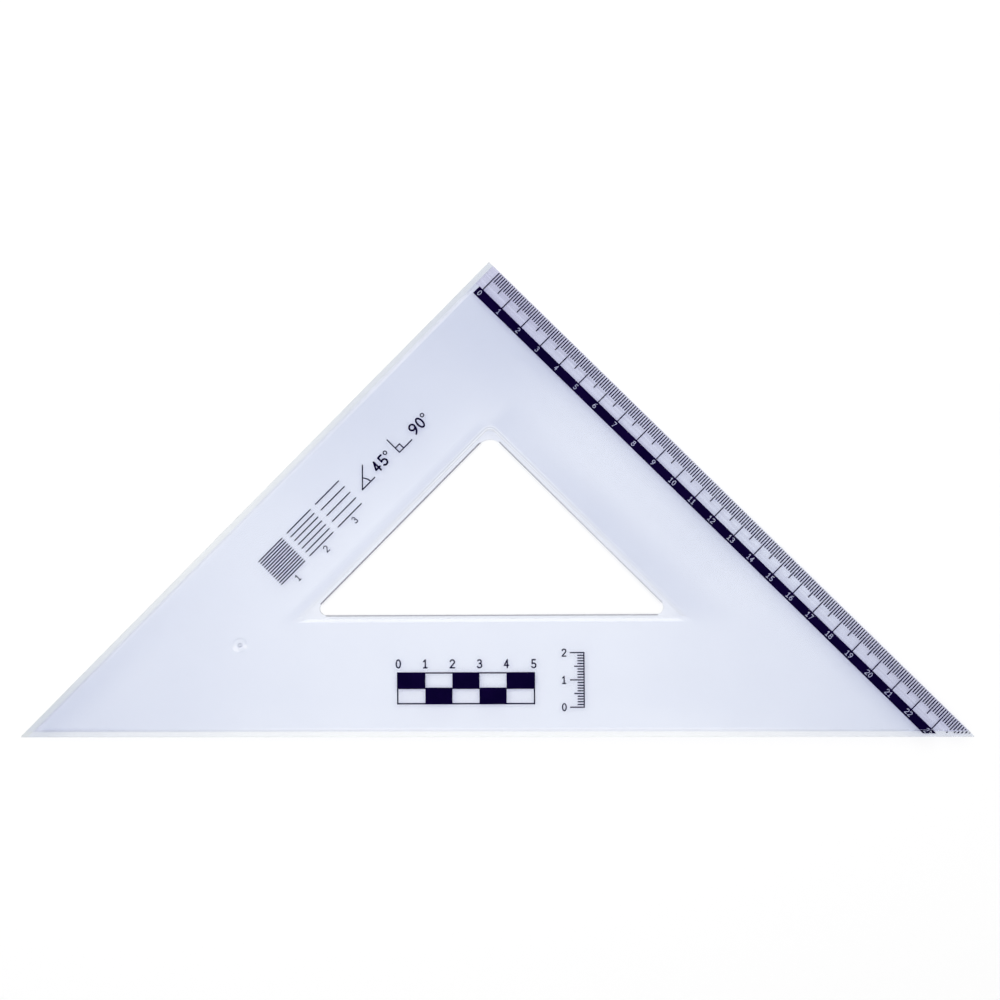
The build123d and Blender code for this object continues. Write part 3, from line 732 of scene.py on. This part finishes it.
@dataclass
class Plate:
    """The clear moulding, with its lips, its bevel, its opening and its gate mark."""

    leg: float = 249.1 * MM
    thickness: float = 2.0 * MM
    lip_width: float = 2.0 * MM
    lip_top: float = 1.0 * MM
    wall_run: float = 0.6 * MM
    bevel_width: float = 9.0 * MM
    bevel_drop: float = 0.6 * MM
    hole_inset: float = 45.3 * MM
    hole_lip_width: float = 1.7 * MM
    hole_low_lip_width: float = 1.4 * MM
    hole_wall_run: float = 1.3 * MM
    hole_apex_radius: float = 5.3 * MM
    hole_corner_radius: float = 2.45 * MM
    hole_wall_radius: float = 1.0 * MM
    hole_head_radius: float = 3.6 * MM
    cut_width: float = 0.6 * MM
    cut_share: float = 0.6
    straight_share: float = 4.0
    gate_along: float = 166.6 * MM
    gate_inward: float = 34.4 * MM
    gate_radius: float = 3.0 * MM
    gate_margin: float = 1.01
    gate_slope: float = 0.6 * MM
    gate_depth: float = 0.2 * MM
    pip_radius: float = 0.85 * MM
    pip_bore: float = 0.35 * MM
    pip_height: float = 0.15 * MM
    corner_radius: float = 0.2 * MM
    wall_round: float = 0.25 * MM
    edge_round: float = 0.1 * MM
    fine_round: float = 0.03 * MM
    wall_steps: int = 5
    round_steps: int = 3
    round_profile: float = 0.5
    corner_steps: int = 6
    arc_step: float = 9.0
    gate_steps: int = 48
    slope_steps: int = 8
    hard_edge: float = 14.0
    wall_rise: Span = (0.3, 0.95)
    level_rise: float = 0.99

    @property
    def middle(self) -> float:
        """Half the plate's height over its long side."""
        return self.leg / ROOT_TWO / 2

    @property
    def gate_middle(self) -> Point:
        """The middle of the gate mark, on the underside."""
        return self.at(self.gate_inward, None, self.gate_along, 0.0)

    @property
    def gate_spot(self) -> Point:
        """The middle of the gate mark in millimetres."""
        return tuple(length / MM for length in self.gate_middle)

    def at(self, left: float | None, long_side: float | None, scale: float | None, height: float) -> Point:
        """A point from its distances in from two of the sides.

        Args:
            left: Distance from the left leg, or None.
            long_side: Distance from the long side, or None.
            scale: Distance from the scale leg, or None.
            height: Height over the underside.

        Returns:
            The point.
        """
        if long_side is None:
            return (left - scale) / ROOT_TWO, self.middle - (left + scale) / ROOT_TWO, height
        reach = 2 * self.middle - long_side
        x = left * ROOT_TWO - reach if scale is None else reach - scale * ROOT_TWO
        return x, long_side - self.middle, height

    @property
    def hole_foot(self) -> float:
        """How far in the opening's wall meets its lip."""
        return self.hole_inset - self.hole_lip_width

    @property
    def hole_head(self) -> float:
        """How far in the opening's wall meets the top."""
        return self.hole_foot - self.hole_wall_run

    def rounded(
        self, inset: float, low_inset: float, height: float, apex_radius: float, corner_radius: float
    ) -> list[Point]:
        """A triangle with round corners.

        Args:
            inset: Distance in from the plate's legs.
            low_inset: Distance in from its long side.
            height: Height over the underside.
            apex_radius: Radius at the right angle.
            corner_radius: Radius at the two sharp corners.

        Returns:
            Its points, from the right angle by the right corner to the left one.
        """
        points: list[Point] = []
        corners = (
            (Corner.APEX, 135.0, 90.0, apex_radius),
            (Corner.RIGHT, 45.0, 135.0, corner_radius),
            (Corner.LEFT, -90.0, 135.0, corner_radius),
        )
        for corner, start, sweep, radius in corners:
            x, y, _ = self.corner_point(corner, inset + radius, low_inset + radius, height)
            steps = round(sweep / self.arc_step)
            for step in range(steps + 1):
                angle = math.radians(start - sweep * step / steps)
                points.append((x + radius * math.cos(angle), y + radius * math.sin(angle), height))
        return points

    def corner_point(self, corner: Corner, inset: float, low_inset: float, height: float) -> Point:
        """A corner of a triangle that lies inside the plate's outline.

        Args:
            corner: Which corner.
            inset: Distance in from the plate's legs.
            low_inset: Distance in from its long side.
            height: Height over the underside.

        Returns:
            The point.
        """
        sides = {
            Corner.APEX: (inset, None, inset),
            Corner.RIGHT: (None, low_inset, inset),
            Corner.LEFT: (inset, low_inset, None),
        }
        return self.at(*sides[corner], height)

    def arc_middle(self, corner: Corner) -> int:
        """The number in a rounded loop of the point half way round a corner."""
        counts = [round(sweep / self.arc_step) + 1 for sweep in (90, 135, 135)]
        return sum(counts[: corner.value]) + counts[corner.value] // 2

    def build(self) -> bpy.types.Object:
        """Builds the plate's mesh.

        Returns:
            The plate, which stands for the node of that name.
        """
        shell = bmesh.new()
        outside = self.add_outside(shell)
        head = self.add_opening(shell, outside)
        self.add_top(shell, outside, head)
        bmesh.ops.recalc_face_normals(shell, faces=shell.faces)
        self.round_edges(shell, outside)
        mesh = bpy.data.meshes.new("clear_plate")
        shell.to_mesh(mesh)
        shell.free()
        self.paint_cut_edge(mesh)
        mesh.shade_smooth()
        plate = bpy.data.objects.new("clear_plate", mesh)
        bpy.context.scene.collection.objects.link(plate)
        plate.modifiers.new("even_normals", "WEIGHTED_NORMAL")
        return plate

    def paint_cut_edge(self, mesh: bpy.types.Mesh) -> None:
        """Marks the straight stretches of the opening's upper edge, where the finish paints its dark shaded
        line.

        Args:
            mesh: The finished mesh.
        """
        ends = [Vector(point) for point in self.rounded(*self.hole_edge(0.0, 0.0))]
        straight = self.straight_share * self.hole_apex_radius
        sides = [side for side in zip(ends, ends[1:] + ends[:1]) if (side[1] - side[0]).length > straight]
        weights = mesh.attributes.new(CUT_EDGE, "FLOAT", "POINT")
        for vert, weight in zip(mesh.vertices, weights.data):
            spot = Vector((vert.co.x, vert.co.y, 0.0))
            gap = min((spot - along_segment(spot, *side)).length for side in sides)
            upper = vert.co.z > self.lip_top / 2
            weight.value = float(upper and gap < self.cut_share * self.cut_width)

    def add_outside(self, shell: Shell) -> dict[str, Vert]:
        """Adds the outer walls, the lips, their walls and the bevel.

        Args:
            shell: The mesh being built.

        Returns:
            The corners that later faces join.
        """
        edge_top = self.thickness - self.bevel_drop
        rise = self.thickness - self.lip_top
        head = self.lip_width + self.wall_run
        edge_run = self.lip_width + self.wall_run * (edge_top - self.lip_top) / rise
        rows = {
            "foot": (0.0, 0.0, 0.0),
            "lip": (0.0, 0.0, self.lip_top),
            "wall_foot": (self.lip_width, 0.0, self.lip_top),
            "bevel_edge": (edge_run, 0.0, edge_top),
            "top": (head, self.bevel_width, self.thickness),
        }
        verts: dict[str, Vert] = {}
        for name, (inset, scale, height) in rows.items():
            verts[f"apex_{name}"] = shell.verts.new(self.at(inset, None, scale, height))
            verts[f"right_{name}"] = shell.verts.new(self.at(None, inset, scale, height))
            if name != "bevel_edge":
                verts[f"left_{name}"] = shell.verts.new(self.at(inset, inset, None, height))
        scale_wall = ("foot", "lip", "wall_foot", "bevel_edge")
        down = [f"right_{name}" for name in scale_wall]
        back = [f"apex_{name}" for name in reversed(scale_wall)]
        faces = (
            down + back,
            ["left_foot", "apex_foot", "apex_lip", "left_lip"],
            ["right_foot", "left_foot", "left_lip", "right_lip"],
            ["left_lip", "apex_lip", "apex_wall_foot", "left_wall_foot"],
            ["right_lip", "left_lip", "left_wall_foot", "right_wall_foot"],
            ["left_wall_foot", "apex_wall_foot", "apex_bevel_edge", "apex_top", "left_top"],
            ["right_wall_foot", "left_wall_foot", "left_top", "right_top", "right_bevel_edge"],
            ["apex_bevel_edge", "right_bevel_edge", "right_top", "apex_top"],
        )
        for names in faces:
            shell.faces.new([verts[name] for name in names])
        return verts

    def hole_edge(self, outwards: float, height: float) -> tuple[float, float, float, float, float]:
        """The opening's outline, drawn outwards by a little.

        Args:
            outwards: How far outwards.
            height: Height over the underside.

        Returns:
            What rounded() takes.
        """
        return (
            self.hole_inset - outwards,
            self.hole_foot + self.hole_low_lip_width - outwards,
            height,
            self.hole_apex_radius + outwards,
            self.hole_corner_radius + outwards,
        )

    def add_opening(self, shell: Shell, outside: dict[str, Vert]) -> list[Vert]:
        """Adds the opening's walls and lip, and the underside.

        Args:
            shell: The mesh being built.
            outside: The plate's outer corners.

        Returns:
            The loop at the head of the opening's wall, in the top face.
        """
        head, foot = self.hole_head, self.hole_foot
        rows = (
            (head, head, self.thickness, self.hole_head_radius, self.hole_wall_radius),
            (foot, foot, self.lip_top, self.hole_head_radius, self.hole_wall_radius),
            self.hole_edge(self.cut_width, self.lip_top),
            self.hole_edge(0.0, self.lip_top),
            self.hole_edge(0.0, 0.0),
        )
        loops = [[shell.verts.new(point) for point in self.rounded(*row)] for row in rows]
        for upper, lower in zip(loops, loops[1:]):
            join(shell, upper, lower)
        corners = {corner: outside[f"{corner.name.lower()}_foot"] for corner in Corner}
        self.add_arms(shell, corners, loops[-1], {})
        return loops[0]

    def add_top(self, shell: Shell, outside: dict[str, Vert], head: list[Vert]) -> None:
        """Adds the top face with the gate mark in its left corner.

        Args:
            shell: The mesh being built.
            outside: The plate's outer corners.
            head: The loop at the head of the opening's wall.
        """
        x, y, _ = self.gate_middle
        floor = self.thickness - self.gate_depth
        shares = [step / self.slope_steps for step in range(self.slope_steps + 1)]
        rows = [
            (self.gate_radius - self.gate_slope * t, self.thickness - self.gate_depth * t * t * (3 - 2 * t))
            for t in shares
        ]
        rows += (
            (self.pip_radius, floor),
            (self.pip_radius, floor + self.pip_height),
            (self.pip_bore, floor + self.pip_height),
            (self.pip_bore, floor),
        )
        angles = [2 * math.pi * step / self.gate_steps for step in range(self.gate_steps)]
        loops = [
            [shell.verts.new((x + radius * math.cos(a), y + radius * math.sin(a), height)) for a in angles]
            for radius, height in rows
        ]
        for outer, inner in zip(loops, loops[1:]):
            join(shell, outer, inner)
        shell.faces.new(loops[-1])
        corners = {corner: outside[f"{corner.name.lower()}_top"] for corner in Corner}
        self.add_arms(shell, corners, head, {Corner.LEFT: loops[0]})

    def add_arms(
        self,
        shell: Shell,
        corners: dict[Corner, Vert],
        opening: list[Vert],
        rings: dict[Corner, list[Vert]],
    ) -> None:
        """Adds the flat face of each arm, between the plate's corners and the opening.

        Args:
            shell: The mesh being built.
            corners: The outer corner of the face at each corner of the plate.
            opening: The loop around the opening.
            rings: A round gap on the seam between two arms, for each corner that has one.
        """
        order = list(Corner)
        for number, start in enumerate(order):
            end = order[(number + 1) % len(order)]
            arm = [corners[start], corners[end]]
            if end in rings:
                arm += self.half_ring(rings[end], corners[end], near=True)
            first, last = self.arc_middle(start), self.arc_middle(end)
            steps = (last - first) % len(opening)
            arm += [opening[(first + step) % len(opening)] for step in range(steps, -1, -1)]
            if start in rings:
                arm += self.half_ring(rings[start], corners[start], near=False)
            shell.faces.new(arm)

    def half_ring(self, ring: list[Vert], corner: Vert, near: bool) -> list[Vert]:
        """Half of a ring that a seam between two arms runs through.

        Args:
            ring: The ring, anticlockwise.
            corner: The plate's corner that the seam starts from.
            near: Whether the half starts at the point nearest to the corner, or ends there.

        Returns:
            The half's points, anticlockwise.
        """
        closest = min(range(len(ring)), key=lambda index: (ring[index].co - corner.co).length)
        start = closest if near else closest + len(ring) // 2
        return [ring[(start + step) % len(ring)] for step in range(len(ring) // 2 + 1)]

    def round_edges(self, shell: Shell, outside: dict[str, Vert]) -> None:
        """Rounds the hard edges a little, as moulding leaves them, and the walls' edges more.

        Args:
            shell: The mesh being built.
            outside: The plate's outer corners.
        """
        crease = {outside["apex_top"], outside["right_top"]}
        gate = {vert for vert in shell.verts if self.in_gate(vert.co)}
        self.round_corners(shell, outside)
        fine = [edge for edge in self.hard_edges(shell) if set(edge.verts) <= gate]
        self.round_off(shell, fine, self.fine_round, self.round_steps, clamp=True)
        walls = [edge for edge in shell.edges if self.is_wall_edge(edge) or set(edge.verts) == crease]
        self.round_off(shell, walls, self.wall_round, self.wall_steps, clamp=True)
        coarse = [edge for edge in self.hard_edges(shell) if not self.in_gate(edge.verts[0].co)]
        self.round_off(shell, coarse, self.edge_round, self.round_steps, clamp=True)

    def hard_edges(self, shell: Shell) -> list[Edge]:
        """The edges at which the surface turns sharply."""
        limit = math.radians(self.hard_edge)
        return [edge for edge in shell.edges if edge.calc_face_angle(0) > limit]

    def is_wall_edge(self, edge: Edge) -> bool:
        """Whether an edge outside the gate mark lies between a leaning wall and a level face.

        Args:
            edge: The edge.

        Returns:
            Whether it does.
        """
        rises = sorted(face.normal.z for face in edge.link_faces)
        leans = self.wall_rise[0] < rises[0] < self.wall_rise[1]
        return leans and rises[-1] > self.level_rise and not self.in_gate(edge.verts[0].co)

    def round_off(
        self, shell: Shell, edges: list[Edge], width: float, steps: int, clamp: bool
    ) -> None:
        """Rounds some edges.

        Args:
            shell: The mesh being built.
            edges: The edges to round.
            width: How far the rounding reaches on either side.
            steps: How many facets it has.
            clamp: Whether it stops short of other edges.
        """
        settings = {"profile": self.round_profile, "affect": "EDGES", "clamp_overlap": clamp}
        bmesh.ops.bevel(shell, geom=edges, offset=width, segments=steps, **settings)

    def round_corners(self, shell: Shell, outside: dict[str, Vert]) -> None:
        """Rounds the plate's three upright corners.

        Args:
            shell: The mesh being built.
            outside: The plate's outer corners.
        """
        half_angles = {Corner.APEX: 45.0, Corner.RIGHT: 22.5, Corner.LEFT: 22.5}
        for corner, half_angle in half_angles.items():
            ends = {outside[f"{corner.name.lower()}_{end}"] for end in ("foot", "lip")}
            upright = [edge for edge in shell.edges if set(edge.verts) == ends]
            reach = self.corner_radius / math.tan(math.radians(half_angle))
            self.round_off(shell, upright, reach, self.corner_steps, clamp=False)

    def in_gate(self, place: Vector) -> bool:
        """Whether a point belongs to the gate mark."""
        x, y, _ = self.gate_middle
        return math.hypot(place.x - x, place.y - y) < self.gate_margin * self.gate_radius

    def dress(self, plate: bpy.types.Object) -> None:
        """Gives the plate its finish and its place in the part.

        Args:
            plate: The plate's object.
        """
        plate.data.materials.append(ClearPlastic(self).build())
        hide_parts("plate")
        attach(plate, "root")


def along_segment(spot: Vector, start: Vector, end: Vector) -> Vector:
    """The point of a segment that lies nearest to a spot.

    Args:
        spot: The spot.
        start: The segment's start.
        end: The segment's end.

    Returns:
        The nearest point.
    """
    run = end - start
    share = (spot - start).dot(run) / run.length_squared
    return start + run * min(max(share, 0.0), 1.0)


def join(shell: Shell, first: list[Vert], second: list[Vert]) -> None:
    """Joins two closed loops of as many points by a band of faces.

    Args:
        shell: The mesh being built.
        first: The first loop.
        second: The second loop.
    """
    for index in range(len(first)):
        following = (index + 1) % len(first)
        shell.faces.new((first[index], first[following], second[following], second[index]))


@dataclass
class Printing:
    """The ink on the plate's top, as the solids of the part."""

    plate_node: str = "plate"

    def dress(self) -> list[bpy.types.Object]:
        """Gives each printed node the ink's finish.

        Returns:
            The printed nodes.
        """
        ink = PrintedInk().build()
        printed = [node for name, node in sorted(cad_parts.items()) if name != self.plate_node]
        for node in printed:
            node.data.materials.clear()
            node.data.materials.append(ink)
        return printed


@dataclass(frozen=True)
class Lamp:
    """A soft lamp that faces the plate."""

    name: str
    place: Point
    width: float
    height: float
    brightness: float

    def build(self) -> bpy.types.Object:
        """Builds the lamp.

        Returns:
            The lamp, which the camera doesn't see.
        """
        data = bpy.data.lights.new(self.name, "AREA")
        data.shape = "RECTANGLE"
        data.size = self.width
        data.size_y = self.height
        data.energy = WATTS_PER_AREA * self.brightness * self.width * self.height
        lamp = bpy.data.objects.new(self.name, data)
        lamp.location = self.place
        lamp.rotation_euler = (-Vector(self.place)).to_track_quat("-Z", "Y").to_euler()
        lamp.visible_camera = False
        bpy.context.scene.collection.objects.link(lamp)
        return lamp


@dataclass
class Studio:
    """The white ground, the soft lamps and the pale surroundings."""

    ground_size: float = 12.0
    ground_gap: float = 0.05 * MM
    ambient: float = 0.336
    lamps: tuple[Lamp, ...] = (
        Lamp("softbox", (0.0, 0.0, 1.3), 1.5, 1.5, 1.2),
        Lamp("left_lamp", (-0.98, 0.24, 1.25), 0.45, 0.45, 5.0),
        Lamp("right_lamp", (0.75, 0.75, 1.3), 0.45, 0.45, 5.0),
        Lamp("back_strip", (0.0, 1.6, 0.5), 1.4, 0.5, 3.2),
    )

    def build(self) -> bpy.types.Object:
        """Builds the ground, the lamps and the world.

        Returns:
            The ground.
        """
        mesh = bpy.data.meshes.new("ground")
        half = self.ground_size / 2
        corners = [(x * half, y * half, -self.ground_gap) for x, y in ((-1, -1), (1, -1), (1, 1), (-1, 1))]
        mesh.from_pydata(corners, [], [(0, 1, 2, 3)])
        ground = bpy.data.objects.new("ground", mesh)
        bpy.context.scene.collection.objects.link(ground)
        mesh.materials.append(WhitePaper().build())
        for lamp in self.lamps:
            lamp.build()
        self.surround()
        return ground

    def surround(self) -> None:
        """Makes the world white to the eye, and an even soft light for everything else."""
        world = bpy.data.worlds.new("white_studio")
        world.use_nodes = True
        graph = Graph(world.node_tree)
        strength = graph.ramp(graph.shown_to_eye(), 0.0, 1.0, self.ambient, 1.0)
        backdrop = graph.add("ShaderNodeBackground", {"Color": WHITE, "Strength": strength})
        graph.add("ShaderNodeOutputWorld", {"Surface": backdrop.outputs["Background"]})
        bpy.context.scene.world = world


@dataclass(frozen=True)
class View:
    """The camera, nearly straight over the plate."""

    place: Point = (26.1 * MM, -18.9 * MM, 556.0 * MM)
    turn: Point = (1.8666, 2.3301, -0.3260)
    lens: float = 54.0
    sensor: float = 36.0
    clip_start: float = 10 * MM

    def build(self) -> bpy.types.Object:
        """Builds the camera.

        Returns:
            The camera.
        """
        data = bpy.data.cameras.new("camera")
        data.lens = self.lens
        data.sensor_width = self.sensor
        data.clip_start = self.clip_start
        camera = bpy.data.objects.new("camera", data)
        camera.location = self.place
        camera.rotation_euler = Euler([math.radians(angle) for angle in self.turn])
        bpy.context.scene.collection.objects.link(camera)
        bpy.context.scene.camera = camera
        return camera


def main() -> None:
    """Builds and dresses the part, then sets the stage."""
    logging.basicConfig(level=logging.INFO, format="%(name)s: %(message)s")
    bpy.context.scene.view_settings.view_transform = "Standard"
    View().build()
    plate = Plate()
    piece = plate.build()
    plate.dress(piece)
    log.info("built %s with %d faces", piece.name, len(piece.data.polygons))
    for node in Printing().dress():
        log.info("dressed %s", node.name)
    log.info("set %s", Studio().build().name)


if __name__ == "__main__":
    main()
